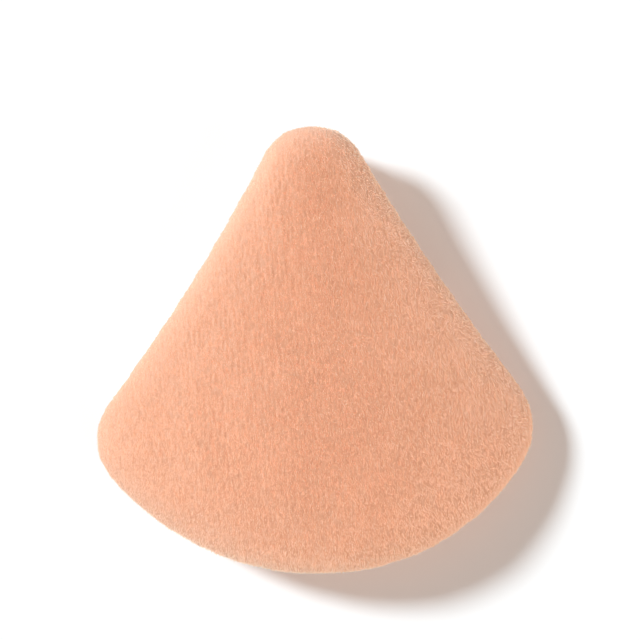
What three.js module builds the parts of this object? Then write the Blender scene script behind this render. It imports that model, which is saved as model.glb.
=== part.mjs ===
// Triangular velour powder puff: two cloth panels sewn into a crowned pillow round a foam pad,
// with a ribbon across the back for the fingers.
// Millimetres. +Z is up, through the working face. +Y runs towards the apex. The origin is on the
// surface that the puff lies on, under the middle of its plan.
import * as THREE from "three";

// Plan of the front panel: three rounded corners, two drawn-in sides and a bulging base edge.
// CORNER_HEIGHT is how far the centres of the two lower corners lie above the bottom of the base.
const LENGTH = 74;
const WIDTH = 73;
const APEX_RADIUS = 9;
const CORNER_RADIUS = 10;
const CORNER_HEIGHT = 23.7;
const SIDE_RADIUS = 300;

// Crown of the pillow. It is highest over CROWN_Y, and a higher CROWN_POWER makes it flatter on top.
const FRONT_RISE = 7;
const REAR_RISE = 6;
const CROWN_POWER = 5;
const CROWN_Y = -5.5;

// The ribbon draws both lower corners down, and the tip curls up a little. CORNER_SAG is how far the seam
// sinks where the plan is widest, and APEX_LIFT is how far it rises at the tip.
const CORNER_SAG = 4;
const APEX_LIFT = 1;

// Cloth and seam. Each panel's edge is folded in as a hem that ends HEM inside the front panel's edge.
// A needle thread on the front hem and a bobbin thread on the rear one sew the two hems together.
const VELOUR = 1.2;
const HEM = 5;
const THREAD = 0.4;
const STITCH_MARGIN = 0.8;

// The seam is left open over TURNING_SLIT in the base edge, and closed by hand with a ladder stitch.
const TURNING_SLIT = 26;
const LADDER_PITCH = 2.6;
const LADDER_REACH = 0.6;

// Ribbon across the back. A higher STRAP_POWER makes it lie flatter under the puff.
const STRAP_THICKNESS = 0.4;
const STRAP_WIDTH = 20;
const STRAP_Y = 1;
const STRAP_POWER = 1.5 * CROWN_POWER;
const TACK_PITCH = 1.8;
const TACK_MARGIN = 1.5;

// Clearance between pieces that lie on each other.
const GAP = 0.25;

// How finely the round forms are faceted. A higher CROWN_SPREAD puts more of a crown's steps on its top.
const APEX_STEPS = 4;
const SIDE_STEPS = 8;
const CORNER_STEPS = 7;
const BASE_STEPS = 9;
const CROWN_STEPS = 8;
const CROWN_SPREAD = 1.5;
const FOLD_STEPS = 3;
const PAD_STEPS = 6;
const STRAP_STEPS = 6;
const THREAD_SIDES = 6;
const SEAM_STEP = 4;
const ZIGZAG_STEPS = 3;

// Heights, built up from the surface that the puff lies on.
const rearBottom = STRAP_THICKNESS + GAP;
const rearRim = rearBottom + REAR_RISE;
const rearHem = rearRim + VELOUR;
const tuckBottom = rearHem + GAP;
const tuckTop = tuckBottom + STRAP_THICKNESS;
const seamGap = Math.max(STRAP_THICKNESS, THREAD) + 2 * GAP;
const frontHem = rearHem + seamGap;
const bobbinHeight = rearHem - VELOUR - GAP - THREAD / 2;
const needleHeight = frontHem + VELOUR + GAP + THREAD / 2;
const ladderHeight = rearHem + seamGap / 2;

// Insets from the edge of the front panel. The seam is rolled to the back, by enough for the ribbon
// to stay inside that edge, and the pad stops short of the hems.
const rearSetback = STRAP_THICKNESS + 2 * GAP;
const stitchInset = rearSetback + VELOUR + STITCH_MARGIN;
const padInset = HEM + GAP;
const tackInset = (stitchInset + HEM) / 2;
const tackReach = (HEM - stitchInset) / 2 - THREAD - GAP;

// The base edge is one arc, which touches the bottom of the plan and both lower corners.
const cornerX = WIDTH / 2 - CORNER_RADIUS;
const cornerSpread = cornerX ** 2 + CORNER_HEIGHT ** 2 - CORNER_RADIUS ** 2;
const baseRadius = cornerSpread / (2 * (CORNER_HEIGHT - CORNER_RADIUS));
const baseCentre = new THREE.Vector2(0, baseRadius - LENGTH / 2);
const crownCentre = new THREE.Vector2(0, CROWN_Y);

const velour = new THREE.MeshStandardMaterial({ color: "#ecab8b", roughness: 0.95, metalness: 0 });
const foam = new THREE.MeshStandardMaterial({ color: "#f3e3d6", roughness: 0.9, metalness: 0 });
const ribbon = new THREE.MeshStandardMaterial({ color: "#eeb096", roughness: 0.45, metalness: 0 });
const yarn = new THREE.MeshStandardMaterial({ color: "#e3a183", roughness: 0.6, metalness: 0 });

// Points along an arc, each with its outward normal. On a hollow arc the normal points at the centre.
function arc(centre, radius, start, end, steps, hollow = false) {
  return Array.from({ length: steps }, (_, step) => {
    const angle = THREE.MathUtils.lerp(start, end, step / steps);
    const direction = new THREE.Vector2(Math.cos(angle), Math.sin(angle));
    const point = centre.clone().addScaledVector(direction, radius);
    return { point, normal: hollow ? direction.negate() : direction };
  });
}

// The right half of the edge, from the apex round to the middle of the base. Each arc touches the next.
function rightEdge() {
  const apex = new THREE.Vector2(0, LENGTH / 2 - APEX_RADIUS);
  const corner = new THREE.Vector2(cornerX, CORNER_HEIGHT - LENGTH / 2);

  // The hollow side is centred outside the puff, at the right distance from the apex and the corner.
  const toApex = SIDE_RADIUS + APEX_RADIUS;
  const toCorner = SIDE_RADIUS + CORNER_RADIUS;
  const span = corner.clone().sub(apex);
  const along = (toApex ** 2 - toCorner ** 2 + span.lengthSq()) / (2 * span.length());
  const across = Math.sqrt(toApex ** 2 - along ** 2);
  const direction = span.clone().normalize();
  const outward = new THREE.Vector2(-direction.y, direction.x);
  const side = apex.clone().addScaledVector(direction, along).addScaledVector(outward, across);

  const bearing = (from, to) => Math.atan2(to.y - from.y, to.x - from.x);
  const cornerEnd = bearing(baseCentre, corner);
  return [
    ...arc(apex, APEX_RADIUS, Math.PI / 2, bearing(apex, side), APEX_STEPS),
    ...arc(side, SIDE_RADIUS, bearing(side, apex), bearing(side, corner), SIDE_STEPS, true),
    ...arc(corner, CORNER_RADIUS, bearing(corner, side), cornerEnd, CORNER_STEPS),
    ...arc(baseCentre, baseRadius, cornerEnd, -Math.PI / 2, BASE_STEPS),
    ...arc(baseCentre, baseRadius, -Math.PI / 2, -Math.PI / 2, 1),
  ];
}

const halfEdge = rightEdge();
const mirrored = ({ x, y }) => new THREE.Vector2(-x, y);
const wholeEdge = halfEdge.concat(
  halfEdge.slice(1, -1).reverse().map(({ point, normal }) => (
    { point: mirrored(point), normal: mirrored(normal) }
  )),
);

// The closed edge, clockwise from the apex, moved in square to itself.
function edgeAt(inset) {
  return wholeEdge.map(({ point, normal }) => point.clone().addScaledVector(normal, -inset));
}

// How far the moved-in edge reaches from the middle line at a place along the length.
function reachAt(y, inset) {
  const edge = halfEdge.map(({ point, normal }) => point.clone().addScaledVector(normal, -inset));
  const next = edge.findIndex((point) => point.y <= y);
  const upper = edge[next - 1];
  const lower = edge[next];
  return THREE.MathUtils.mapLinear(y, upper.y, lower.y, upper.x, lower.x);
}

// A place on the base edge's arc, moved in, at a height.
function basePoint(x, inset, height) {
  const drop = Math.sqrt((baseRadius - inset) ** 2 - x ** 2);
  return new THREE.Vector3(x, baseCentre.y - drop, height);
}

// Steps up a crown from its rim to its top: how far out each lies and how high, as shares.
// They are closest together where the crown turns down.
function crownShares(power) {
  return Array.from({ length: CROWN_STEPS }, (_, step) => {
    const angle = (Math.PI / 2) * (1 - step / CROWN_STEPS) ** CROWN_SPREAD;
    return { out: Math.sin(angle) ** (2 / power), up: Math.cos(angle) };
  });
}

// A ring of an edge that is drawn in towards the crown's centre by a share, at one height.
function ring(edge, share, height) {
  return edge.map((point) => {
    const drawn = crownCentre.clone().lerp(point, share);
    return new THREE.Vector3(drawn.x, drawn.y, height);
  });
}

// A closed skin from one pole over a row of rings to another pole.
function skin(startPole, rings, endPole) {
  const count = rings[0].length;
  const points = [startPole, ...rings.flat(), endPole];
  const faces = [];
  const at = (row, column) => 1 + row * count + (column % count);
  for (let column = 0; column < count; column++) {
    faces.push(0, at(0, column), at(0, column + 1));
    for (let row = 0; row + 1 < rings.length; row++) {
      faces.push(at(row, column), at(row + 1, column), at(row, column + 1));
      faces.push(at(row + 1, column), at(row + 1, column + 1), at(row, column + 1));
    }
    faces.push(at(rings.length - 1, column), points.length - 1, at(rings.length - 1, column + 1));
  }
  const geometry = new THREE.BufferGeometry().setFromPoints(points);
  geometry.setIndex(faces);
  geometry.computeVertexNormals();
  return geometry;
}

// A panel with its face up and the underside of its hem at height 0: from the middle of its inner face
// out to the hem, round the fold, and back over its outer face.
function panelGeometry(setback, rise) {
  const edge = edgeAt(setback);
  const innerEdge = edgeAt(setback + VELOUR);
  const hemEdge = edgeAt(HEM);
  const shares = crownShares(CROWN_POWER);
  const inside = shares.map(({ out, up }) => ring(innerEdge, out, VELOUR + up * (rise - VELOUR)));
  const fold = Array.from({ length: FOLD_STEPS }, (_, step) => {
    const angle = (Math.PI / 2) * (1 - step / FOLD_STEPS);
    const inset = VELOUR * (1 - Math.cos(angle));
    return ring(edgeAt(setback + inset), 1, VELOUR * (1 - Math.sin(angle)));
  });
  const outside = shares.map(({ out, up }) => ring(edge, out, VELOUR + up * rise));
  const rings = [...inside.reverse(), ring(hemEdge, 1, VELOUR), ring(hemEdge, 1, 0), ...fold, ...outside];
  const middle = (height) => new THREE.Vector3(crownCentre.x, crownCentre.y, height);
  return skin(middle(rise), rings, middle(VELOUR + rise));
}

// The foam pad: straight cut sides, and two faces that swell into the crowns of the panels.
function padGeometry() {
  const edge = edgeAt(padInset);
  const frontEdge = edgeAt(VELOUR);
  const rearEdge = edgeAt(rearSetback + VELOUR);
  const crown = (share) => Math.sqrt(1 - share ** CROWN_POWER);
  const frontFace = (share) => frontHem + VELOUR + (FRONT_RISE - VELOUR) * crown(share) - GAP;
  const rearFace = (share) => rearHem - VELOUR - (REAR_RISE - VELOUR) * crown(share) + GAP;
  const faceRing = (share, panelEdge, face) => ring(edge, share, 0).map((point, index) => {
    const place = new THREE.Vector2(point.x, point.y);
    const panelShare = place.distanceTo(crownCentre) / panelEdge[index].distanceTo(crownCentre);
    return point.setZ(face(panelShare));
  });
  const steps = Array.from({ length: PAD_STEPS }, (_, step) => (step + 1) / PAD_STEPS);
  const rear = steps.map((share) => faceRing(share, rearEdge, rearFace));
  const front = steps.map((share) => faceRing(share, frontEdge, frontFace)).reverse();
  const middle = (height) => new THREE.Vector3(crownCentre.x, crownCentre.y, height);
  return skin(middle(rearFace(0)), [...rear, ...front], middle(frontFace(0)));
}

// The ribbon: its section runs flat under the puff, up outside the rear panel and into the seam. The
// section is drawn at the ribbon's middle, and its two turned-up ends follow the slant of the sides.
function strapGeometry() {
  const reach = reachAt(STRAP_Y, GAP);
  const shares = crownShares(STRAP_POWER).reverse();
  const flat = shares[0].up;
  const layer = (low, outerReach) => shares.map(({ out, up }) => (
    new THREE.Vector2(out * outerReach, low + (rearRim - low) * (1 - up / flat))
  ));
  const outer = layer(0, reach);
  const inner = layer(STRAP_THICKNESS, reach - STRAP_THICKNESS).reverse();
  const end = reach - (HEM - GAP);
  const right = [
    ...outer,
    new THREE.Vector2(reach, tuckTop),
    new THREE.Vector2(end, tuckTop),
    new THREE.Vector2(end, tuckBottom),
    new THREE.Vector2(reach - STRAP_THICKNESS, tuckBottom),
    ...inner,
  ];
  const left = right.map(mirrored).reverse();
  const section = new THREE.Shape([...right, ...left]);
  const geometry = new THREE.ExtrudeGeometry(section, {
    depth: STRAP_WIDTH,
    steps: STRAP_STEPS,
    bevelEnabled: false,
  });
  geometry.rotateX(Math.PI / 2);
  geometry.translate(0, STRAP_Y + STRAP_WIDTH / 2, 0);

  const places = geometry.attributes.position;
  for (let index = 0; index < places.count; index++) {
    const x = places.getX(index);
    const shift = reachAt(places.getY(index), GAP) - reach;
    places.setX(index, x + Math.sign(x) * shift);
  }
  geometry.computeVertexNormals();
  return geometry;
}

// Sewing thread along a smooth line through points.
function threadGeometry(points, steps) {
  const corners = Array.from({ length: THREAD_SIDES }, (_, side) => {
    const angle = (2 * Math.PI * side) / THREAD_SIDES;
    return new THREE.Vector2(Math.cos(angle), Math.sin(angle)).multiplyScalar(THREAD / 2);
  });
  return new THREE.ExtrudeGeometry(new THREE.Shape(corners), {
    extrudePath: new THREE.CatmullRomCurve3(points),
    steps,
  });
}

// One thread of the machine seam, round the whole edge from one end of the turning slit to the other.
function seamGeometry(height) {
  const slitEnd = TURNING_SLIT / 2;
  const route = edgeAt(stitchInset)
    .filter(({ x, y }) => y > baseCentre.y || Math.abs(x) > slitEnd + THREAD)
    .map(({ x, y }) => new THREE.Vector3(x, y, height));
  const afterSlit = route.findIndex(({ x }) => x < 0);
  const points = [
    basePoint(-slitEnd, stitchInset, height),
    ...route.slice(afterSlit),
    ...route.slice(0, afterSlit),
    basePoint(slitEnd, stitchInset, height),
  ];
  const length = new THREE.CatmullRomCurve3(points).getLength();
  return threadGeometry(points, Math.round(length / SEAM_STEP));
}

// The ladder stitch that closes the turning slit, to and fro between the two hems.
function ladderGeometry() {
  const reach = TURNING_SLIT / 2;
  const rungs = Math.round((2 * reach) / LADDER_PITCH);
  const points = Array.from({ length: rungs + 1 }, (_, rung) => {
    const x = THREE.MathUtils.lerp(-reach, reach, rung / rungs);
    const side = rung % 2 === 0 ? -1 : 1;
    return basePoint(x, stitchInset + side * LADDER_REACH, ladderHeight);
  });
  return threadGeometry(points, rungs * ZIGZAG_STEPS);
}

// The zigzag bar tack on the front hem that holds one end of the ribbon in the seam.
function tackGeometry(side) {
  const reach = STRAP_WIDTH / 2 - TACK_MARGIN;
  const turns = Math.round((2 * reach) / TACK_PITCH);
  const points = Array.from({ length: turns + 1 }, (_, turn) => {
    const y = STRAP_Y + THREE.MathUtils.lerp(-reach, reach, turn / turns);
    const inset = tackInset + (turn % 2 === 0 ? -tackReach : tackReach);
    return new THREE.Vector3(side * reachAt(y, inset), y, needleHeight);
  });
  return threadGeometry(points, turns * ZIGZAG_STEPS);
}

const puff = new THREE.Group();

function addPiece(name, geometry, material) {
  const piece = new THREE.Mesh(geometry, material);
  piece.name = name;
  puff.add(piece);
  return piece;
}

addPiece("front_cover", panelGeometry(0, FRONT_RISE), velour).position.z = frontHem;

// The rear panel is made face up, as the front one is, and turned over.
const rearCover = addPiece("rear_cover", panelGeometry(rearSetback, REAR_RISE), velour);
rearCover.rotation.y = Math.PI;
rearCover.position.z = rearHem;

addPiece("foam_core", padGeometry(), foam);
addPiece("finger_strap", strapGeometry(), ribbon);
addPiece("seam_needle_thread", seamGeometry(needleHeight), yarn);
addPiece("seam_bobbin_thread", seamGeometry(bobbinHeight), yarn);
addPiece("closing_stitch_thread", ladderGeometry(), yarn);
addPiece("left_strap_tack", tackGeometry(-1), yarn);
addPiece("right_strap_tack", tackGeometry(1), yarn);

// Sag of a piece towards both sides and its lift towards the tip. At any one place all heights change alike,
// so pieces that lie on each other stay in order, and the face that the puff lies on stays flat.
function settle(piece) {
  piece.updateMatrix();
  const back = piece.matrix.clone().invert();
  const places = piece.geometry.attributes.position;
  const point = new THREE.Vector3();
  for (let index = 0; index < places.count; index++) {
    point.fromBufferAttribute(places, index).applyMatrix4(piece.matrix);
    const sunk = CORNER_SAG * ((2 * point.x) / WIDTH) ** 2;
    const raised = APEX_LIFT * Math.max(0, (2 * point.y) / LENGTH) ** 2;
    point.setZ(point.z * (1 + (raised - sunk) / ladderHeight)).applyMatrix4(back);
    places.setXYZ(index, point.x, point.y, point.z);
  }
  piece.geometry.computeVertexNormals();
}

puff.children.forEach(settle);

export default puff;
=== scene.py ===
# %% [markdown]
# A velour powder puff, dressed for a studio photograph.
# The measured frame gives every piece its place, in metres. This lesson lays cloth, ribbon and thread
# over that frame: two velour covers that are blown up like small cushions, the foam that fills them,
# the satin ribbon for the fingers, and the threads that hold it all together.

# %% Load the measured frame
import math

import bmesh
import bpy
from mathutils import Matrix, Vector, noise


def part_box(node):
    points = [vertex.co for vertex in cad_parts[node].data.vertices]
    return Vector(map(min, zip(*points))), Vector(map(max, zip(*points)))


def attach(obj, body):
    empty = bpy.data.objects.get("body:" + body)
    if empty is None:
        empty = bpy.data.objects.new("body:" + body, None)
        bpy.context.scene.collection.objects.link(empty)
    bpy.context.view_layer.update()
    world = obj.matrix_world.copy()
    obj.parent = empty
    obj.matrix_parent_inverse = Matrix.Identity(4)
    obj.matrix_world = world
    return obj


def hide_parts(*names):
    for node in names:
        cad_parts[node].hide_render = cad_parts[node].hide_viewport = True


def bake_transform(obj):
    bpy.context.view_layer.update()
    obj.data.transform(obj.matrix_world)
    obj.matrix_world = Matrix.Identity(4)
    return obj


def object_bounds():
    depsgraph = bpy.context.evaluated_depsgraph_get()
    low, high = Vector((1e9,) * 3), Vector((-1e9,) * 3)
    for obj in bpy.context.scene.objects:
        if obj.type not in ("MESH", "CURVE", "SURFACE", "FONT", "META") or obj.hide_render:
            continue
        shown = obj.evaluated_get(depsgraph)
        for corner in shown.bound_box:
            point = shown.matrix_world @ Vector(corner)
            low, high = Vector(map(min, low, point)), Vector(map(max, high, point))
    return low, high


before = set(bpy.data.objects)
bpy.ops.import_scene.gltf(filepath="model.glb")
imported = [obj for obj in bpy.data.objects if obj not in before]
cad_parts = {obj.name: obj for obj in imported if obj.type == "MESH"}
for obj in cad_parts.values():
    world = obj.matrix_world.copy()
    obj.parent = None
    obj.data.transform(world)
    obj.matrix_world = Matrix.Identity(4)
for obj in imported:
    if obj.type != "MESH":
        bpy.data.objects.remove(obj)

MM = 0.001
scene = bpy.context.scene
cad_box = [list(corner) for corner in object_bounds()]
front_low, front_high = (Vector(corner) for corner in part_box("front_cover"))
strap_low, strap_high = (Vector(corner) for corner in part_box("finger_strap"))
cad_size = [round((high - low) / MM, 2) for low, high in zip(*cad_box)]
print("nodes", len(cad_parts), "box mm", cad_size)

# %% [markdown]
# The plan of the puff is one line of arcs, each of which runs smoothly into the next: a round apex,
# a hollow side, a round corner and a bulging base, and then the same again on the left. The overall
# length and width come from the frame. An arc needs only its centre and the angle that it sweeps,
# because a vertex that is spun about each centre in turn draws the whole line.

# %% Find the centres of the arcs
half_length = (front_high.y - front_low.y) / 2
half_width = (front_high.x - front_low.x) / 2
apex_radius = 9 * MM
corner_radius = 10 * MM
corner_height = 23.7 * MM
side_radius = 300 * MM

apex = Vector((0, half_length - apex_radius))
corner = Vector((half_width - corner_radius, corner_height - half_length))
corner_spread = corner.x ** 2 + corner_height ** 2 - corner_radius ** 2
base_radius = corner_spread / (2 * (corner_height - corner_radius))
base = Vector((0, base_radius - half_length))

side_from_apex = side_radius + apex_radius
side_from_corner = side_radius + corner_radius
span = corner - apex
along = (side_from_apex ** 2 - side_from_corner ** 2 + span.length_squared) / (2 * span.length)
across = math.sqrt(side_from_apex ** 2 - along ** 2)
down_the_side = span.normalized()
side = apex + down_the_side * along + Vector((-down_the_side.y, down_the_side.x)) * across
print("base radius mm", round(base_radius / MM, 1))


# %% Work out the sweep of each arc
def bearing(start, end):
    return math.atan2(end.y - start.y, end.x - start.x)


def to_left(point):
    return Vector((-point.x, point.y))


apex_sweep = bearing(apex, side) - math.pi / 2
side_sweep = bearing(side, corner) - bearing(side, apex)
corner_sweep = bearing(base, corner) - bearing(corner, side)
base_sweep = -math.pi - 2 * bearing(base, corner)
apex_steps, side_steps, corner_steps, base_steps = 8, 24, 14, 56

plan_arcs = [
    (apex, apex_sweep, apex_steps),
    (side, side_sweep, side_steps),
    (corner, corner_sweep, corner_steps),
    (base, base_sweep, base_steps),
    (to_left(corner), corner_sweep, corner_steps),
    (to_left(side), side_sweep, side_steps),
    (apex, apex_sweep, apex_steps),
]
print("arcs", len(plan_arcs), "steps", sum(steps for centre, sweep, steps in plan_arcs))

# %% [markdown]
# A sewn puff is never quite even. In the photograph both lower corners lean a little to the left, as
# cloth does when the panel is turned right side out. The short shadow beside the right corner shows
# that the corners lie low, because the ribbon draws them down, and the long one beside the tip shows
# that it curls up. One small change of place is applied to every soft piece alike, so that covers,
# ribbon and stitches still fit.

# %% Lean and settle the soft pieces
lean_left = 1.36 * MM
lean_down = 0.58 * MM
corner_sag = 4 * MM
apex_lift = 1 * MM
seam_height = 8.3 * MM


def height_kept(point):
    sunk = corner_sag * (point.x / half_width) ** 2
    raised = apex_lift * max(0, point.y / half_length) ** 2
    return 1 + (raised - sunk) / seam_height


def settle(point):
    lean_share = (point.x / half_width) ** 2
    return Vector((
        point.x - lean_left * lean_share,
        point.y - lean_down * lean_share,
        point.z * height_kept(point),
    ))


def settle_mesh(mesh):
    for vertex in mesh.vertices:
        vertex.co = settle(vertex.co)
    mesh.update()


corner_point = settle(Vector((half_width, corner.y, seam_height)))
print("seam height at the corners mm", round(corner_point.z / MM, 2))

# %% [markdown]
# Every piece starts as a bmesh and ends as an object that sits at the origin. Modifiers such as Remesh
# and Subdivision Surface are worked out once and kept as plain geometry, so that the export and the
# poses see the finished mesh.

# %% Helpers that turn a bmesh into a finished piece
def make_object(name, bm):
    mesh = bpy.data.meshes.new(name)
    bm.to_mesh(mesh)
    bm.free()
    piece = bpy.data.objects.new(name, mesh)
    scene.collection.objects.link(piece)
    return piece


def copy_piece(piece):
    double = piece.copy()
    double.data = piece.data.copy()
    scene.collection.objects.link(double)
    return double


def keep_modifiers(piece):
    graph = bpy.context.evaluated_depsgraph_get()
    finished = bpy.data.meshes.new_from_object(piece.evaluated_get(graph))
    unfinished = piece.data
    piece.modifiers.clear()
    piece.data = finished
    bpy.data.meshes.remove(unfinished)
    finished.name = piece.name


def remesh(piece, voxel):
    modifier = piece.modifiers.new("Remesh", "REMESH")
    modifier.mode = "VOXEL"
    modifier.voxel_size = voxel
    keep_modifiers(piece)


def subdivide(piece, levels):
    modifier = piece.modifiers.new("Subdivision", "SUBSURF")
    modifier.levels = levels
    modifier.render_levels = levels
    keep_modifiers(piece)


def shade_smooth(piece):
    piece.data.polygons.foreach_set("use_smooth", [True] * len(piece.data.polygons))


def give_finish(piece, finish):
    piece.data.materials.clear()
    piece.data.materials.append(finish)


def triangle_count(piece):
    return sum(len(face.vertices) - 2 for face in piece.data.polygons)


# %% [markdown]
# Each cover begins as half a cushion. Rings of the plan are spun at growing insets, first round the
# fold below the rim and then over the roll of the edge. From there on they are drawn in towards the
# middle for the low crown. Neighbouring rings are bridged, and the two open ends are filled.

# %% Spin rings of the plan
crown_centre = Vector((0, -5.5 * MM))


def spin_ring(bm, inset, height):
    first = bm.verts.new((0, apex.y + apex_radius - inset, height))
    before = set(bm.verts)
    last = first
    for centre, sweep, steps in plan_arcs:
        arc = bmesh.ops.spin(
            bm, geom=[last], cent=(*centre, height), axis=(0, 0, 1), angle=sweep, steps=steps
        )
        last = next(item for item in arc["geom_last"] if isinstance(item, bmesh.types.BMVert))
    ring = [first] + [vertex for vertex in bm.verts if vertex not in before and vertex != last]
    bmesh.ops.pointmerge(bm, verts=[first, last], merge_co=first.co)
    return ring


def draw_in(ring, share):
    for vertex in ring:
        vertex.co.xy = crown_centre.lerp(vertex.co.xy, share)


trial = bmesh.new()
print("points in a ring", len(spin_ring(trial, 0, 0)))
trial.free()

# %% Roll the edge, raise the crown and bridge the rings
roll_rings = 8
crown_rings = 8
crown_share = 0.2


def quarter_turn(step, steps):
    return math.pi / 2 * step / steps


def roll_and_crown(bm, setback, rim_height, top_height, roll):
    """Rings from the rim over the rolled edge to the middle. The top may lie above or below the rim."""
    roll_top = rim_height + (top_height - rim_height) * (1 - crown_share)
    rings = []
    for step in range(roll_rings):
        angle = quarter_turn(step, roll_rings)
        inset = setback + roll * (1 - math.cos(angle))
        rings.append(spin_ring(bm, inset, rim_height + (roll_top - rim_height) * math.sin(angle)))
    for step in range(crown_rings):
        share = 1 - step / crown_rings
        height = roll_top + (top_height - roll_top) * (1 - share ** 2)
        rings.append(spin_ring(bm, setback + roll, height))
        draw_in(rings[-1], share)
    return rings


def ring_edges(ring):
    members = set(ring)
    edges = {edge for vertex in ring for edge in vertex.link_edges}
    return [edge for edge in edges if members.issuperset(edge.verts)]


def loft(name, bm, rings):
    for lower, upper in zip(rings, rings[1:]):
        bmesh.ops.bridge_loops(bm, edges=ring_edges(lower) + ring_edges(upper))
    for end in (rings[0], rings[-1]):
        bmesh.ops.edgeloop_fill(bm, edges=ring_edges(end))
    bmesh.ops.recalc_face_normals(bm, faces=bm.faces)
    return make_object(name, bm)


print("rings over the edge", roll_rings, "and on the crown", crown_rings)

# %% Build the two half cushions
fold_rings = 4
fold_radius = 1.2 * MM
roll_inset = 6 * MM
hem_inset = 5 * MM
hem_gap = 0.22 * MM
front_hem = seam_height + hem_gap
rear_hem = seam_height - hem_gap
rear_setback = 0.9 * MM
swell_room = 0.6 * MM
rim_room = 0.35 * MM
crown_top = 16.95 * MM
crown_bottom = 0.65 * MM


def half_cushion(name, setback, hem_height, top_height):
    """A closed half cushion between its hem and its crown."""
    up = math.copysign(1, top_height - hem_height)
    rim_height = hem_height + up * fold_radius
    bm = bmesh.new()
    rings = [spin_ring(bm, hem_inset, hem_height)]
    for step in range(fold_rings):
        angle = quarter_turn(step, fold_rings)
        inset = setback + fold_radius * (1 - math.sin(angle))
        rings.append(spin_ring(bm, inset, rim_height - up * fold_radius * math.cos(angle)))
    return loft(name, bm, rings + roll_and_crown(bm, setback, rim_height, top_height, roll_inset))


front_form = half_cushion("front_velour", -rim_room, front_hem, crown_top - swell_room)
rear_form = half_cushion("rear_velour", rear_setback - rim_room, rear_hem, crown_bottom + swell_room)
print("front form", triangle_count(front_form), "rear form", triangle_count(rear_form))

# %% [markdown]
# Cloth that is filled pulls tight over the crown and lies in shallow swells near the seam. Blender's
# Cloth gives that without any drawing: the half cushion is remeshed into even quads, its hem is
# pinned where the seam holds it, and a little pressure blows up the rest. The solver is made for cloth
# of a metre or so, so the puff is simulated twenty times as large and then taken back to its own size.
# No point may move further than the cap, so the puff keeps its measured thickness.

# %% Blow up the half cushions with Cloth
cloth_scale = 20
cloth_voxel = 1.5 * MM
cloth_cap = 1.0 * MM
cloth_frames = 20
hem_hold = 2.2


def pin_hem(form, hem_height):
    """Pin the hem, and let the cloth go within hem_hold fold radii of it."""
    hem = form.vertex_groups.new(name="hem")
    for vertex in form.data.vertices:
        height = abs(vertex.co.z - hem_height) / fold_radius
        hem.add([vertex.index], min(1, max(0, hem_hold - height)), "REPLACE")
    return hem.name


def inflate(form, pinned):
    cloth = form.modifiers.new("Cloth", "CLOTH")
    settings = cloth.settings
    settings.vertex_group_mass = pinned
    settings.mass = 0.1
    settings.use_pressure = True
    settings.uniform_pressure_force = 0.2
    settings.tension_stiffness = settings.compression_stiffness = 10
    settings.shear_stiffness = 5
    settings.bending_stiffness = 2
    settings.effector_weights.gravity = 0
    cloth.collision_settings.use_collision = False
    scene.frame_start, scene.frame_end = 1, cloth_frames
    for frame_number in range(1, cloth_frames + 1):
        scene.frame_set(frame_number)
    keep_modifiers(form)


def swell(form, hem_height):
    remesh(form, cloth_voxel)
    before = [vertex.co.copy() for vertex in form.data.vertices]
    pinned = pin_hem(form, hem_height)
    form.data.transform(Matrix.Scale(cloth_scale, 4))
    inflate(form, pinned)
    form.data.transform(Matrix.Scale(1 / cloth_scale, 4))
    furthest = 0
    for vertex, start in zip(form.data.vertices, before):
        move = vertex.co - start
        furthest = max(furthest, move.length)
        if move.length > cloth_cap:
            vertex.co = start + move * (cloth_cap / move.length)
    scene.frame_set(1)
    print(form.name, "swells", round(furthest / MM, 2), "mm at most")


swell(front_form, front_hem)
swell(rear_form, rear_hem)
for form in (front_form, rear_form):
    heights = [vertex.co.z / MM for vertex in form.data.vertices]
    print(form.name, "from", round(min(heights), 2), "to", round(max(heights), 2), "mm")

# %% [markdown]
# The pile of velour stands in rows, the wales, and parts into little tufts along them. Relief that fine
# needs small faces, but mostly across the wales: along them a tuft is long. So the cushion is widened,
# remeshed into even quads and narrowed again, which leaves quads that are narrow across the wales and
# long along them. The flat underside is then cut away, because the cover is a shell and not a lump.

# %% Remesh the outside into narrow quads
wale_quad = 0.22 * MM
tuft_quad = 0.5 * MM
widen = tuft_quad / wale_quad
cut_tolerance = 1e-7


def fine_outside(form):
    outside = copy_piece(form)
    subdivide(outside, levels=2)
    outside.data.transform(Matrix.Diagonal((widen, 1, 1, 1)))
    remesh(outside, tuft_quad)
    outside.data.transform(Matrix.Diagonal((1 / widen, 1, 1, 1)))
    return outside


def cut_underside(bm, height, up):
    """Cut away what lies beyond a height, and give the edges of the opening."""
    bmesh.ops.bisect_plane(
        bm, geom=bm.verts[:] + bm.edges[:] + bm.faces[:], dist=cut_tolerance,
        plane_co=(0, 0, height), plane_no=(0, 0, -up), clear_outer=True,
    )
    bm.normal_update()
    return [edge for edge in bm.edges if edge.is_boundary]


print("quads mm", round(wale_quad / MM, 2), "x", round(tuft_quad / MM, 2))

# %% [markdown]
# The relief of the pile is a height for each point of the outside: the wales, tufts that are longer
# than they are wide, short slits along the wales where the pile parts, and soft swells of a few
# millimetres where the foam below is uneven. Blender's noise gives the same heights in every run. How
# thick the pile stands is kept with each point as well, for the yarn that is planted there later.

# %% Raise the pile
wale_pitch = 0.75 * MM
wale_tilt = math.radians(-2.3)
pile_depth = 0.11 * MM
tuft_lump = (0.42, 1.15, 0.8)
slit_lump = (0.36, 1.2, 0.8)
clump_lump = (1.1, 2.3, 1.5)
swell_lump = (6, 7, 5)
slit_start, slit_fade = 0.12, 0.35


def lumps(grain, size, shift=0):
    """Smooth noise with lumps of this size in millimetres. The shift keeps two patterns apart."""
    return noise.noise(Vector((grain.x / size[0], grain.y / size[1], grain.z / size[2] + shift)))


def parting(grain):
    return min(1, max(0, (lumps(grain, slit_lump, 90) - slit_start) / slit_fade))


def wale_wave(place):
    return math.cos(2 * math.pi * place * MM / wale_pitch)


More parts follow.
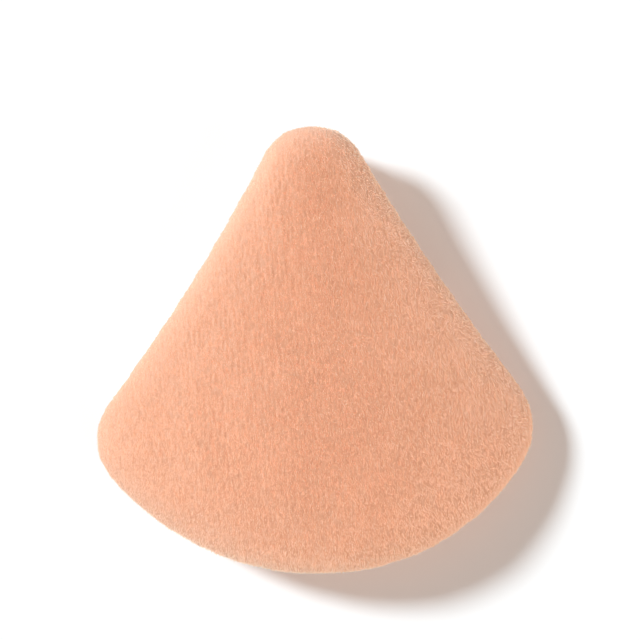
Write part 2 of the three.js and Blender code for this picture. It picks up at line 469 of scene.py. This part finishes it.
def pile_height(grain):
    tufts = lumps(grain, tuft_lump)
    clumps = lumps(grain, clump_lump, 40)
    wales = wale_wave(grain.x + 0.25 * clumps)
    swells = lumps(grain, swell_lump, 150)
    return pile_depth * (
        0.4 * tufts + 0.3 * clumps + 0.2 * wales - 0.6 * parting(grain) + 0.6 * swells
    )


def pile_thickness(grain):
    return (1 - 0.5 * parting(grain)) * (0.88 + 0.12 * wale_wave(grain.x))


def raise_pile(bm):
    bm.normal_update()
    pile = bm.verts.layers.float.new("pile")
    along_wales = Matrix.Rotation(wale_tilt, 3, "Z") * (1 / MM)
    raised = []
    for vertex in bm.verts:
        grain = along_wales @ vertex.co
        raised.append((vertex, vertex.normal * pile_height(grain), pile_thickness(grain)))
    for vertex, move, thickness in raised:
        vertex.co += move
        vertex[pile] = thickness


print("wales per cm", round(10 * MM / wale_pitch, 1))

# %% [markdown]
# A cover is cloth, so it has an inner face and a hem. The inner face is the swollen form again, moved in
# by the thickness of the cloth and turned over. Both open edges are drawn inwards as the hem, and
# bridging the two rims closes the shell. Extruding leaves its new faces in a chance order, so they are
# sorted, and the pile that is planted on them is the same in every run.

# %% Close each cover as a shell of cloth
cloth_thickness = 0.95 * MM
hem_width = 3.8 * MM
rim_trim = 0.15 * MM


def sort_new_faces(bm, before):
    """Sort the new faces among themselves, by their points, and leave the others in their places."""
    bm.verts.index_update()
    faces = bm.faces[:]
    new = [face for face in faces if face not in before]
    new.sort(key=lambda face: sorted(vertex.index for vertex in face.verts))
    in_turn = iter(new)
    for place, face in enumerate(faces):
        chosen = face if face in before else next(in_turn)
        chosen.index = place
    bm.faces.sort()


def draw_hem(bm, edges, height):
    before = set(bm.faces)
    drawn = bmesh.ops.extrude_edge_only(bm, edges=edges)["geom"]
    hem = [item for item in drawn if isinstance(item, bmesh.types.BMVert)]
    draw_in(hem, 1 - hem_width / half_width)
    for vertex in hem:
        vertex.co.z = height
    sort_new_faces(bm, before)


def inner_face(form, hem_height, up):
    bm = bmesh.new()
    bm.from_mesh(form.data)
    rim = cut_underside(bm, hem_height + up * rim_trim, up)
    shrunk = [(vertex, vertex.co - vertex.normal * cloth_thickness) for vertex in bm.verts]
    for vertex, place in shrunk:
        vertex.co = place
    draw_hem(bm, rim, hem_height + up * cloth_thickness)
    bmesh.ops.reverse_faces(bm, faces=bm.faces)
    mesh = bpy.data.meshes.new("inner face")
    bm.to_mesh(mesh)
    bm.free()
    return mesh


def close_cover(form, hem_height, up):
    outside = fine_outside(form)
    bm = bmesh.new()
    bm.from_mesh(outside.data)
    rim = cut_underside(bm, hem_height + up * rim_trim, up)
    raise_pile(bm)
    draw_hem(bm, rim, hem_height)

    inner = inner_face(form, hem_height, up)
    bm.from_mesh(inner)
    sewn = set(bm.faces)
    bmesh.ops.bridge_loops(bm, edges=[edge for edge in bm.edges if edge.is_boundary])
    sort_new_faces(bm, sewn)
    bmesh.ops.recalc_face_normals(bm, faces=bm.faces)
    open_edges = sum(1 for edge in bm.edges if not edge.is_manifold)
    bm.to_mesh(form.data)
    bm.free()
    bpy.data.meshes.remove(inner)
    bpy.data.objects.remove(outside)
    settle_mesh(form.data)
    shade_smooth(form)
    print(form.name, triangle_count(form), "triangles,", open_edges, "open edges")


close_cover(front_form, front_hem, 1)
close_cover(rear_form, rear_hem, -1)

# %% [markdown]
# A finish is a small tree of nodes, and the same few kinds turn up in each: a noise that is stretched
# to a size, sums of patterns, a ramp from a number to a colour, and a bump. One helper adds each kind
# and gives back its output, so the finishes below read like recipes.

# %% Helpers that add patterns to a finish
def new_material(name):
    material = bpy.data.materials.new(name)
    material.use_nodes = True
    tree = material.node_tree
    return material, tree, tree.nodes["Principled BSDF"]


def add_noise(tree, coordinates, stretch, detail=2, roughness=0.5, turn=0):
    """Noise whose blobs are about as long as stretch says, along X, Y and Z."""
    mapping = tree.nodes.new("ShaderNodeMapping")
    mapping.inputs["Rotation"].default_value = (0, 0, turn)
    mapping.inputs["Scale"].default_value = [1 / reach for reach in stretch]
    tree.links.new(coordinates, mapping.inputs["Vector"])
    pattern = tree.nodes.new("ShaderNodeTexNoise")
    pattern.inputs["Scale"].default_value = 1
    pattern.inputs["Detail"].default_value = detail
    pattern.inputs["Roughness"].default_value = roughness
    tree.links.new(mapping.outputs["Vector"], pattern.inputs["Vector"])
    return pattern.outputs["Fac"]


def add_attribute(tree, name):
    note = tree.nodes.new("ShaderNodeAttribute")
    note.attribute_name = name
    return note.outputs["Fac"]


def add_tilt(tree, normal):
    """How far a normal leans away from straight up or down, from 0 to 1."""
    sideways = tree.nodes.new("ShaderNodeVectorMath")
    sideways.operation = "MULTIPLY"
    sideways.inputs[1].default_value = (1, 1, 0)
    tree.links.new(normal, sideways.inputs[0])
    tilt = tree.nodes.new("ShaderNodeVectorMath")
    tilt.operation = "LENGTH"
    tree.links.new(sideways.outputs["Vector"], tilt.inputs[0])
    return tilt.outputs["Value"]


# %% Helpers that turn patterns into colour and relief
def add_math(tree, operation, first, second=None):
    node = tree.nodes.new("ShaderNodeMath")
    node.operation = operation
    for socket, value in zip(node.inputs, (first, second)):
        if isinstance(value, bpy.types.NodeSocket):
            tree.links.new(value, socket)
        elif value is not None:
            socket.default_value = value
    return node.outputs["Value"]


def add_shares(tree, *shares, plus=None):
    """The sum of some patterns, each times its share, and of one more number or pattern."""
    parts = [add_math(tree, "MULTIPLY", pattern, share) for pattern, share in shares]
    if plus is not None:
        parts.append(plus)
    total = parts[0]
    for part in parts[1:]:
        total = add_math(tree, "ADD", total, part)
    return total


def add_ramp(tree, factor, stops):
    ramp = tree.nodes.new("ShaderNodeValToRGB")
    elements = ramp.color_ramp.elements
    while len(elements) < len(stops):
        elements.new(0.5)
    for element, (position, colour) in zip(elements, stops):
        element.position = position
        element.color = (*colour, 1)
    tree.links.new(factor, ramp.inputs["Fac"])
    return ramp.outputs["Color"]


def add_bump(tree, height, distance, strength):
    bump = tree.nodes.new("ShaderNodeBump")
    bump.inputs["Strength"].default_value = strength
    bump.inputs["Distance"].default_value = distance
    tree.links.new(height, bump.inputs["Height"])
    return bump.outputs["Normal"]


# %% [markdown]
# The velour is peach cotton with a soft, matt pile. Its colour follows the bump's pattern as painted
# light and shade: the tips of the tufts are paler and the gaps between them darker and redder. Wide
# patches differ a little at random. The patterns use Object coordinates, stretched along the wales.
# Where the cloth slopes, the colour is painted paler with the tilt of the surface, a painted sheen for
# the bright rim of velvet. Velour also shines softly where it is seen from the side, which is the sheen
# of the shader.

# %% Velour
streak_size = (0.30 * MM, 1.1 * MM, 0.6 * MM)
speck_size = (0.16 * MM, 0.26 * MM, 0.2 * MM)


def make_velour():
    material, tree, shader = new_material("peach velour")
    space = tree.nodes.new("ShaderNodeTexCoord")
    place = space.outputs["Object"]
    streaks = add_noise(tree, place, streak_size, detail=3, roughness=0.6, turn=wale_tilt)
    specks = add_noise(tree, place, speck_size, roughness=0.6, turn=wale_tilt)
    patches = add_noise(tree, place, (7 * MM, 9 * MM, 6 * MM))
    # Painted sheen: the tilt of the surface paints the slopes paler.
    tilt = add_tilt(tree, space.outputs["Normal"])
    # The bump's pattern also sets the colour: painted shade in the gaps, paler tips.
    pile = add_shares(tree, (streaks, 0.6), (specks, 0.4))
    tone = add_shares(tree, (pile, 0.85), (patches, 0.15), (tilt, 0.35))
    colour = add_ramp(tree, tone, [
        (0.30, (0.50, 0.225, 0.135)),
        (0.45, (0.63, 0.31, 0.195)),
        (0.55, (0.67, 0.345, 0.22)),
        (0.70, (0.73, 0.41, 0.285)),
        (0.85, (0.755, 0.44, 0.31)),
    ])
    tree.links.new(colour, shader.inputs["Base Color"])
    tree.links.new(add_shares(tree, (specks, 0.14), plus=0.84), shader.inputs["Roughness"])
    tree.links.new(add_bump(tree, pile, 0.16 * MM, 0.6), shader.inputs["Normal"])
    shader.inputs["Specular IOR Level"].default_value = 0.1
    shader.inputs["Sheen Weight"].default_value = 0.35
    shader.inputs["Sheen Roughness"].default_value = 0.45
    shader.inputs["Sheen Tint"].default_value = (1.0, 0.82, 0.70, 1)
    return material


velour = make_velour()
for cover, node in ((front_form, "front_cover"), (rear_form, "rear_cover")):
    give_finish(cover, velour)
    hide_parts(node)
    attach(cover, "puff")
print("velour nodes", len(velour.node_tree.nodes))

# %% [markdown]
# What makes velour velvety is its pile: tufts of cut yarn that stand up from the cloth, lean along the
# wales and catch light that comes from the side, so a rounded puff is hardly darker on its far side; the
# yarn's painted sheen round the rim helps with that. One tuft is a slim three-sided spike. Geometry
# Nodes scatter copies of it over the outside of a cover, point each one partly along the cloth's normal
# and partly the way that the pile is brushed, vary its size and make the whole crop one mesh. Round the
# steep rim the tufts are shorter.

# %% Cut one tuft
tuft_length = 0.65 * MM
tuft_radius = 0.11 * MM
tuft_rise = 0.35


def make_tuft():
    bm = bmesh.new()
    bmesh.ops.create_cone(
        bm, cap_ends=True, segments=3, radius1=tuft_radius, radius2=0, depth=tuft_length,
        matrix=Matrix.Translation((0, 0, tuft_length * tuft_rise)),
    )
    return make_object("tuft", bm)


tuft = make_tuft()
print("triangles in a tuft", triangle_count(tuft))

# %% Scatter and brush the tufts
tuft_spacing = 0.218 * MM
tuft_crowd = 2.5
brush_hold = (0.6, 0.6, 1)
brush_sweep = ((-0.1, -0.9, 0), (0.3, -0.3, 0))


def add_random(tree, kind, low, high, seed):
    """A chance value for each tuft. The node keeps a set of sockets for every kind of value."""
    node = tree.nodes.new("FunctionNodeRandomValue")
    node.data_type = kind
    low_socket, high_socket, result = {"FLOAT": (2, 3, 1), "FLOAT_VECTOR": (0, 1, 0)}[kind]
    node.inputs[low_socket].default_value = low
    node.inputs[high_socket].default_value = high
    node.inputs["Seed"].default_value = seed
    return node.outputs[result]


def scatter_points(tree, cloth, seed):
    """Points no closer than the spacing, and fewer of them where the pile is thin."""
    scatter = tree.nodes.new("GeometryNodeDistributePointsOnFaces")
    scatter.distribute_method = "POISSON"
    scatter.inputs["Distance Min"].default_value = tuft_spacing
    scatter.inputs["Density Max"].default_value = tuft_crowd / tuft_spacing ** 2
    scatter.inputs["Seed"].default_value = seed
    thickness = tree.nodes.new("GeometryNodeInputNamedAttribute")
    thickness.data_type = "FLOAT"
    thickness.inputs["Name"].default_value = "pile"
    tree.links.new(cloth, scatter.inputs["Mesh"])
    tree.links.new(thickness.outputs["Attribute"], scatter.inputs["Density Factor"])
    return scatter


def brush_tufts(tree, scatter, seed):
    brushed = tree.nodes.new("ShaderNodeVectorMath")
    brushed.operation = "MULTIPLY_ADD"
    brushed.inputs[1].default_value = brush_hold
    tree.links.new(scatter.outputs["Normal"], brushed.inputs[0])
    tree.links.new(add_random(tree, "FLOAT_VECTOR", *brush_sweep, seed), brushed.inputs[2])
    lean = tree.nodes.new("FunctionNodeAlignRotationToVector")
    lean.axis = "Z"
    tree.links.new(scatter.outputs["Rotation"], lean.inputs["Rotation"])
    tree.links.new(brushed.outputs["Vector"], lean.inputs["Vector"])
    return lean.outputs["Rotation"]


print("tufts stand", round(tuft_spacing / MM, 3), "mm apart or more")

# %% Plant the crop
tuft_sizes = (0.7, 1.1)
rim_crop = 0.4


def keep_value(tree, tufts, name, value):
    """Write one number on each tuft, for the yarn's colour."""
    note = tree.nodes.new("GeometryNodeStoreNamedAttribute")
    note.data_type = "FLOAT"
    note.domain = "INSTANCE"
    note.inputs["Name"].default_value = name
    tree.links.new(tufts, note.inputs["Geometry"])
    tree.links.new(value, note.inputs["Value"])
    return note.outputs["Geometry"]


def crop_nodes(name, seed):
    tree = bpy.data.node_groups.new(name, "GeometryNodeTree")
    for way in ("INPUT", "OUTPUT"):
        tree.interface.new_socket("Geometry", in_out=way, socket_type="NodeSocketGeometry")
    cloth = tree.nodes.new("NodeGroupInput").outputs[0]
    scatter = scatter_points(tree, cloth, seed)
    one = tree.nodes.new("GeometryNodeObjectInfo")
    one.inputs["Object"].default_value = tuft
    tilt = add_tilt(tree, scatter.outputs["Normal"])
    growth = add_math(tree, "SUBTRACT", 1, add_math(tree, "MULTIPLY", tilt, rim_crop))
    size = add_math(tree, "MULTIPLY", add_random(tree, "FLOAT", *tuft_sizes, seed + 2), growth)
    place = tree.nodes.new("GeometryNodeInstanceOnPoints")
    tree.links.new(scatter.outputs["Points"], place.inputs["Points"])
    tree.links.new(one.outputs["Geometry"], place.inputs["Instance"])
    tree.links.new(brush_tufts(tree, scatter, seed + 1), place.inputs["Rotation"])
    tree.links.new(size, place.inputs["Scale"])
    shade = add_random(tree, "FLOAT", 0, 1, seed + 3)
    tufts = keep_value(tree, place.outputs["Instances"], "tuft_shade", shade)
    # The tilt is also written on each tuft, so that the yarn can paint the tufts paler round the rim: a
    # painted sheen.
    tufts = keep_value(tree, tufts, "tuft_tilt", tilt)
    crop = tree.nodes.new("GeometryNodeRealizeInstances")
    tree.links.new(tufts, crop.inputs["Geometry"])
    tree.links.new(crop.outputs["Geometry"], tree.nodes.new("NodeGroupOutput").inputs[0])
    return tree


print("longest tuft mm", round(tuft_length * tuft_sizes[1] / MM, 2))

# %% [markdown]
# Single fibres let most of the light through: it goes into the yarn and comes out on the far side, which
# gives the puff a soft, somewhat pale edge. Subsurface scattering does that. The numbers that were
# written on each tuft make some tufts paler than others at random, and all of them paler round the rim,
# which is a painted sheen that pales the edge further. The crop casts no shadow of its own, because the
# cover under it already does.

# %% Grow the pile in yarn
def make_pile_yarn():
    material, tree, shader = new_material("peach pile yarn")
    place = tree.nodes.new("ShaderNodeTexCoord").outputs["Object"]
    shade = add_attribute(tree, "tuft_shade")
    tilt = add_attribute(tree, "tuft_tilt")
    patches = add_noise(tree, place, (5 * MM, 7 * MM, 5 * MM))
    streaks = add_noise(tree, place, streak_size, detail=3, roughness=0.6, turn=wale_tilt)
    # Painted sheen: the tilt paints every tuft paler round the rim.
    tone = add_shares(tree, (shade, 0.2), (patches, 0.2), (tilt, 0.5), (streaks, 0.6))
    colour = add_ramp(tree, tone, [
        (0.32, (0.54, 0.26, 0.16)),
        (0.5, (0.60, 0.31, 0.195)),
        (0.68, (0.70, 0.41, 0.285)),
        (0.9, (0.755, 0.48, 0.36)),
    ])
    tree.links.new(colour, shader.inputs["Base Color"])
    tree.links.new(add_shares(tree, (patches, 0.2), plus=0.75), shader.inputs["Roughness"])
    shader.inputs["Specular IOR Level"].default_value = 0.1
    shader.inputs["Subsurface Weight"].default_value = 1.0
    shader.inputs["Subsurface Radius"].default_value = (1.0, 0.6, 0.45)
    shader.inputs["Subsurface Scale"].default_value = 0.3 * MM
    shader.inputs["Sheen Weight"].default_value = 0.6
    shader.inputs["Sheen Roughness"].default_value = 0.5
    shader.inputs["Sheen Tint"].default_value = (1.0, 0.85, 0.75, 1)
    return material


def grow_pile(name, cover, seed):
    crop = copy_piece(cover)
    crop.name = name
    crop.modifiers.new("Tufts", "NODES").node_group = crop_nodes(name, seed)
    keep_modifiers(crop)
    give_finish(crop, pile_yarn)
    crop.visible_shadow = False
    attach(crop, "puff")
    print(name, triangle_count(crop), "triangles")


pile_yarn = make_pile_yarn()
grow_pile("front_pile", front_form, seed=11)
grow_pile("rear_pile", rear_form, seed=23)
bpy.data.objects.remove(tuft)

# %% [markdown]
# The foam pad fills the two covers. It is out of sight, but it is a real piece: a slice of open-cell foam
# with its edge rounded off, made from the same rings as the covers, only further in, so that it stays
# clear of the hems. Its pores are a Voronoi pattern that dents the surface and darkens it in the dents,
# which is painted shade in the pores.

# %% Foam finish
pore_size = 0.55 * MM


def make_foam_finish():
    material, tree, shader = new_material("open-cell foam")
    place = tree.nodes.new("ShaderNodeTexCoord").outputs["Object"]
    pores = tree.nodes.new("ShaderNodeTexVoronoi")
    pores.inputs["Scale"].default_value = 1 / pore_size
    tree.links.new(place, pores.inputs["Vector"])
    patches = add_noise(tree, place, (4 * MM, 4 * MM, 4 * MM), detail=3)
    depth = add_shares(tree, (patches, 0.3), plus=pores.outputs["Distance"])
    # Painted shade: the colour gets darker where the pores dent the surface.
    colour = add_ramp(tree, depth, [
        (0.15, (0.70, 0.55, 0.44)),
        (0.5, (0.87, 0.73, 0.62)),
        (0.9, (0.93, 0.82, 0.73)),
    ])
    tree.links.new(colour, shader.inputs["Base Color"])
    tree.links.new(add_shares(tree, (patches, 0.2), plus=0.75), shader.inputs["Roughness"])
    tree.links.new(add_bump(tree, depth, 0.2 * MM, 0.7), shader.inputs["Normal"])
    shader.inputs["Specular IOR Level"].default_value = 0.2
    return material


foam_finish = make_foam_finish()
print("foam nodes", len(foam_finish.node_tree.nodes))

# %% Foam pad
foam_inset = 5.4 * MM
foam_waist = 1.5 * MM
foam_roll = 3 * MM
foam_top = 15.5 * MM
foam_bottom = 2.1 * MM
foam_voxel = 1.1 * MM
dent_size = 0.9 * MM
dent_depth = 0.08 * MM


def make_foam():
    bm = bmesh.new()
    lower = roll_and_crown(bm, foam_inset, seam_height - foam_waist, foam_bottom, foam_roll)
    upper = roll_and_crown(bm, foam_inset, seam_height + foam_waist, foam_top, foam_roll)
    foam = loft("foam_pad", bm, lower[::-1] + upper)
    remesh(foam, foam_voxel)
    subdivide(foam, levels=1)
    settle_mesh(foam.data)
    dents = [vertex.normal * noise.noise(vertex.co / dent_size) for vertex in foam.data.vertices]
    for vertex, dent in zip(foam.data.vertices, dents):
        vertex.co += dent * dent_depth
    shade_smooth(foam)
    give_finish(foam, foam_finish)
    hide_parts("foam_core")
    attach(foam, "puff")
    print("foam", triangle_count(foam), "triangles")


make_foam()

# %% [markdown]
# The ribbon for the fingers runs across the back. Its ends are caught between the two hems, it turns down
# round the rear cover and lies flat underneath. A ribbon is a flat strip, so it starts as a grid that is
# bent along that path. The sides of the puff slant, so each row of the grid gets its own reach.

# %% Find the ribbon's path
ribbon_width = strap_high.y - strap_low.y
ribbon_middle = (strap_high.y + strap_low.y) / 2
ribbon_thickness = 0.3 * MM
ribbon_gap = 0.05 * MM
ribbon_under = ribbon_thickness / 2 + ribbon_gap
ribbon_tuck = 1.6 * MM
ribbon_clear = 0.75 * MM
ribbon_fullness = 0.9
fold_steps = 8
roll_steps = 16
rear_rim = rear_hem - fold_radius


def side_reach(y, inset):
    return side.x - math.sqrt((side_radius + inset) ** 2 - (y - side.y) ** 2)


def ribbon_path(y):
    """Points of one half of the ribbon, from its end in the seam to the middle of the back."""
    rim = side_reach(y, rear_setback)
    fold = rim - fold_radius
    points = [Vector((fold - ribbon_tuck, seam_height))]
    for step in range(fold_steps + 1):
        angle = math.pi / 2 * (1 - step / fold_steps)
        points.append(Vector((
            fold + (fold_radius + ribbon_clear) * math.cos(angle),
            rear_rim + (seam_height - rear_rim) * math.sin(angle),
        )))
    for step in range(1, roll_steps + 1):
        angle = quarter_turn(step, roll_steps)
        points.append(Vector((
            rim - roll_inset + (roll_inset + ribbon_clear) * math.cos(angle),
            rear_rim - (rear_rim - ribbon_under) * math.sin(angle) ** ribbon_fullness,
        )))
    points.append(Vector((0, ribbon_under)))
    return points


def part_lengths(points):
    return [(end - start).length for start, end in zip(points, points[1:])]


def point_along(points, share):
    lengths = part_lengths(points)
    left = share * sum(lengths)
    for start, end, part in zip(points, points[1:], lengths):
        if left <= part:
            return start.lerp(end, left / part)
        left -= part
    return points[-1]


ribbon_length = 2 * sum(part_lengths(ribbon_path(ribbon_middle)))
print("ribbon mm", round(ribbon_width / MM, 1), "x", round(ribbon_length / MM, 1))

# %% Bend the ribbon round the back
ribbon_parts = 140
ribbon_rows = 28
ribbon_slack = 0.05 * MM


def make_ribbon():
    bm = bmesh.new()
    bm.loops.layers.uv.new("ribbon")
    bmesh.ops.create_grid(
        bm, x_segments=ribbon_parts, y_segments=ribbon_rows, size=0.5, calc_uvs=True
    )
    paths = {}
    for vertex in bm.verts:
        y = ribbon_middle + vertex.co.y * ribbon_width
        path = paths.setdefault(round(y / MM, 4), ribbon_path(y))
        spot = point_along(path, 1 - abs(2 * vertex.co.x))
        slack = ribbon_slack * noise.noise(Vector((vertex.co.x * 14, vertex.co.y * 3, 5)))
        height = max(ribbon_under, spot.y + slack)
        vertex.co = settle(Vector((math.copysign(spot.x, vertex.co.x), y, height)))
    bmesh.ops.recalc_face_normals(bm, faces=bm.faces)
    ribbon = make_object("ribbon", bm)
    wall = ribbon.modifiers.new("Solidify", "SOLIDIFY")
    wall.thickness = ribbon_thickness
    wall.offset = 0
    keep_modifiers(ribbon)
    shade_smooth(ribbon)
    return ribbon


ribbon = make_ribbon()
print("ribbon", triangle_count(ribbon), "triangles")

# %% [markdown]
# Satin ribbon shines along its length, because long warp floats cover the weft. The weave follows the
# ribbon's own UV map: fine lines along it, a faint rib across, and a firm woven edge on both sides.

# %% Satin
pick_pitch = 0.35 * MM
float_size = (0.04, 0.004, 1)
selvedge_start = 0.465


def make_satin():
    material, tree, shader = new_material("peach satin")
    weave = tree.nodes.new("ShaderNodeUVMap")
    weave.uv_map = "ribbon"
    split = tree.nodes.new("ShaderNodeSeparateXYZ")
    tree.links.new(weave.outputs["UV"], split.inputs["Vector"])
    floats = add_noise(tree, weave.outputs["UV"], float_size, roughness=0.6)
    turns = 2 * math.pi * ribbon_length / pick_pitch
    picks = add_math(tree, "SINE", add_math(tree, "MULTIPLY", split.outputs["X"], turns))
    from_middle = add_math(tree, "ABSOLUTE", add_math(tree, "SUBTRACT", split.outputs["Y"], 0.5))
    selvedge = add_math(tree, "GREATER_THAN", from_middle, selvedge_start)
    colour = add_ramp(tree, add_shares(tree, (floats, 0.8), (selvedge, 0.25)), [
        (0.25, (0.79, 0.39, 0.27)),
        (0.5, (0.83, 0.43, 0.30)),
        (0.8, (0.88, 0.49, 0.355)),
    ])
    height = add_shares(tree, (picks, 0.25), plus=add_math(tree, "ADD", floats, selvedge))
    tree.links.new(colour, shader.inputs["Base Color"])
    tree.links.new(add_shares(tree, (floats, 0.25), plus=0.28), shader.inputs["Roughness"])
    tree.links.new(add_bump(tree, height, 0.03 * MM, 0.5), shader.inputs["Normal"])
    shader.inputs["Specular IOR Level"].default_value = 0.45
    shader.inputs["Sheen Weight"].default_value = 0.2
    shader.inputs["Sheen Tint"].default_value = (1.0, 0.85, 0.75, 1)
    return material


satin = make_satin()
give_finish(ribbon, satin)
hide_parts("finger_strap")
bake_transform(ribbon)
print("satin nodes", len(satin.node_tree.nodes))

# %% [markdown]
# The threads keep the routes that the frame gives them. Each one is a copy of its node with the loose
# triangles merged. It is levelled, put down on the hem, made round by one subdivision, and settled again
# with the cloth. Sewing thread is twisted, so its finish is a fine slanting wave.

# %% Thread finish
twist_pitch = 0.35 * MM
fuzz_size = (0.12 * MM, 0.12 * MM, 0.12 * MM)


def make_thread_finish():
    material, tree, shader = new_material("sewing thread")
    place = tree.nodes.new("ShaderNodeTexCoord").outputs["Object"]
    twist = tree.nodes.new("ShaderNodeTexWave")
    twist.bands_direction = "DIAGONAL"
    twist.inputs["Scale"].default_value = 0.5 / twist_pitch
    twist.inputs["Distortion"].default_value = 1.5
    tree.links.new(place, twist.inputs["Vector"])
    fuzz = add_noise(tree, place, fuzz_size, roughness=0.6)
    tone = add_shares(tree, (twist.outputs["Fac"], 0.5), (fuzz, 0.5))
    colour = add_ramp(tree, tone, [
        (0.2, (0.58, 0.24, 0.14)),
        (0.55, (0.77, 0.36, 0.23)),
        (0.85, (0.88, 0.50, 0.36)),
    ])
    tree.links.new(colour, shader.inputs["Base Color"])
    tree.links.new(add_shares(tree, (fuzz, 0.2), plus=0.45), shader.inputs["Roughness"])
    tree.links.new(add_bump(tree, tone, 0.05 * MM, 0.6), shader.inputs["Normal"])
    return material


thread_finish = make_thread_finish()
print("thread nodes", len(thread_finish.node_tree.nodes))

# %% Lay the threads
hem_top = front_hem + cloth_thickness
hem_under = rear_hem - cloth_thickness
weld_distance = 1e-6


def lay_thread(name, node, low=None, high=None):
    """Lay a thread with its underside at low, or its top at high, or else where the frame has it."""
    bm = bmesh.new()
    bm.from_mesh(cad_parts[node].data)
    bmesh.ops.remove_doubles(bm, verts=bm.verts, dist=weld_distance)
    for vertex in bm.verts:
        vertex.co.z /= height_kept(vertex.co)
    heights = [vertex.co.z for vertex in bm.verts]
    shift = 0
    if low is not None:
        shift = low - min(heights)
    elif high is not None:
        shift = high - max(heights)
    bmesh.ops.translate(bm, verts=bm.verts, vec=(0, 0, shift))
    thread = make_object(name, bm)
    subdivide(thread, levels=1)
    settle_mesh(thread.data)
    shade_smooth(thread)
    give_finish(thread, thread_finish)
    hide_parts(node)
    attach(thread, "puff")
    print(name, triangle_count(thread), "triangles")


lay_thread("needle_thread", "seam_needle_thread", low=hem_top)
lay_thread("bobbin_thread", "seam_bobbin_thread", high=hem_under)
lay_thread("ladder_stitch", "closing_stitch_thread")
lay_thread("left_tack", "left_strap_tack", low=hem_top)
lay_thread("right_tack", "right_strap_tack", low=hem_top)

# %% [markdown]
# The floor of the studio is white and has no edge in sight. To the camera it has a faint warm glow of its
# own, so that it is white where the lamps reach it and the shadow on it stays warm. The glow is left out
# for all other rays, so it puts no light on the puff.

# %% Floor
floor_colour = (0.87, 0.96, 1.0, 1)
floor_glow = (0.08, 0.035, 0.03, 1)
floor_reach = 3


def choose_for_camera(tree, usual, shown, output):
    """One shader for what the camera sees, and the usual one for all other rays."""
    path = tree.nodes.new("ShaderNodeLightPath")
    choose = tree.nodes.new("ShaderNodeMixShader")
    tree.links.new(path.outputs["Is Camera Ray"], choose.inputs["Fac"])
    tree.links.new(usual, choose.inputs[1])
    tree.links.new(shown, choose.inputs[2])
    tree.links.new(choose.outputs["Shader"], output.inputs["Surface"])


def make_floor():
    bm = bmesh.new()
    bmesh.ops.create_grid(bm, x_segments=8, y_segments=8, size=floor_reach)
    floor = make_object("floor", bm)
    material = bpy.data.materials.new("white floor")
    material.use_nodes = True
    tree = material.node_tree
    tree.nodes.clear()
    output = tree.nodes.new("ShaderNodeOutputMaterial")
    matt = tree.nodes.new("ShaderNodeBsdfDiffuse")
    matt.inputs["Color"].default_value = floor_colour
    glow = tree.nodes.new("ShaderNodeEmission")
    glow.inputs["Color"].default_value = floor_glow
    both = tree.nodes.new("ShaderNodeAddShader")
    tree.links.new(matt.outputs["BSDF"], both.inputs[0])
    tree.links.new(glow.outputs["Emission"], both.inputs[1])
    choose_for_camera(tree, matt.outputs["BSDF"], both.outputs["Shader"], output)
    give_finish(floor, material)


make_floor()
print("floor", 2 * floor_reach, "m across")

# %% [markdown]
# A key lamp stands low on the left, and the width of its disc makes the shadow soft. A very wide, warmer
# fill lamp, low on the right, keeps the far side of the puff pale. It stands for light that pale walls
# send back from many sides, so it casts no shadow. Both are suns, which light everything evenly. The
# world adds a little warm light from all round, and is white only to the camera.

# %% World
room_colour = (0.28, 0.24, 0.21, 1)
backdrop_colour = (1, 1, 1, 1)

world = bpy.data.worlds.new("studio")
scene.world = world
world.use_nodes = True
world_tree = world.node_tree
room = world_tree.nodes["Background"]
room.inputs["Color"].default_value = room_colour
backdrop = world_tree.nodes.new("ShaderNodeBackground")
backdrop.inputs["Color"].default_value = backdrop_colour
choose_for_camera(
    world_tree, room.outputs["Background"], backdrop.outputs["Background"],
    world_tree.nodes["World Output"],
)
print("world nodes", len(world_tree.nodes))


# %% Lamps
def add_lamp(name, strength, colour, disc, rise, turn, shadow=True):
    """A sun whose light travels towards the bearing turn, from the height rise, both in degrees."""
    data = bpy.data.lights.new(name, "SUN")
    data.energy = strength
    data.color = colour
    data.angle = math.radians(disc)
    data.use_shadow = shadow
    lamp = bpy.data.objects.new(name, data)
    scene.collection.objects.link(lamp)
    rise, turn = math.radians(rise), math.radians(turn)
    way = Vector((math.cos(rise) * math.cos(turn), math.cos(rise) * math.sin(turn), -math.sin(rise)))
    lamp.rotation_euler = way.to_track_quat("-Z", "Y").to_euler()
    print(name, "strength", strength)


add_lamp("key lamp", 3.68, (0.90, 0.935, 0.96), disc=12, rise=36, turn=-30)
add_lamp("fill lamp", 2.5, (1.0, 0.88, 0.77), disc=80, rise=9, turn=145, shadow=False)

# %% [markdown]
# The camera looks straight down with a long lens. The puff lies a little low in the picture and is
# turned a little, so the camera stands off the middle and is turned the other way.

# %% Camera
photo_size = 640
photo_middle = photo_size / 2
photo_pixel = 0.1659 * MM
puff_column, puff_row = 319.8, 349.6
puff_turn = math.radians(2.3)
lens, sensor = 150, 36

camera_data = bpy.data.cameras.new("camera")
camera_data.lens = lens
camera_data.sensor_width = sensor
camera_data.clip_start = 0.01
camera = bpy.data.objects.new("camera", camera_data)
scene.collection.objects.link(camera)
scene.camera = camera

front_rim = front_hem + fold_radius
view_width = photo_size * photo_pixel
puff_place = Vector((puff_column - photo_middle, photo_middle - puff_row, 0)) * photo_pixel
aim = Matrix.Rotation(-puff_turn, 4, "Z") @ -puff_place
camera.location = (aim.x, aim.y, front_rim + view_width * lens / sensor)
camera.rotation_euler = (0, 0, -puff_turn)
scene.view_settings.view_transform = "Standard"
print("camera mm", [round(value / MM, 1) for value in camera.location])
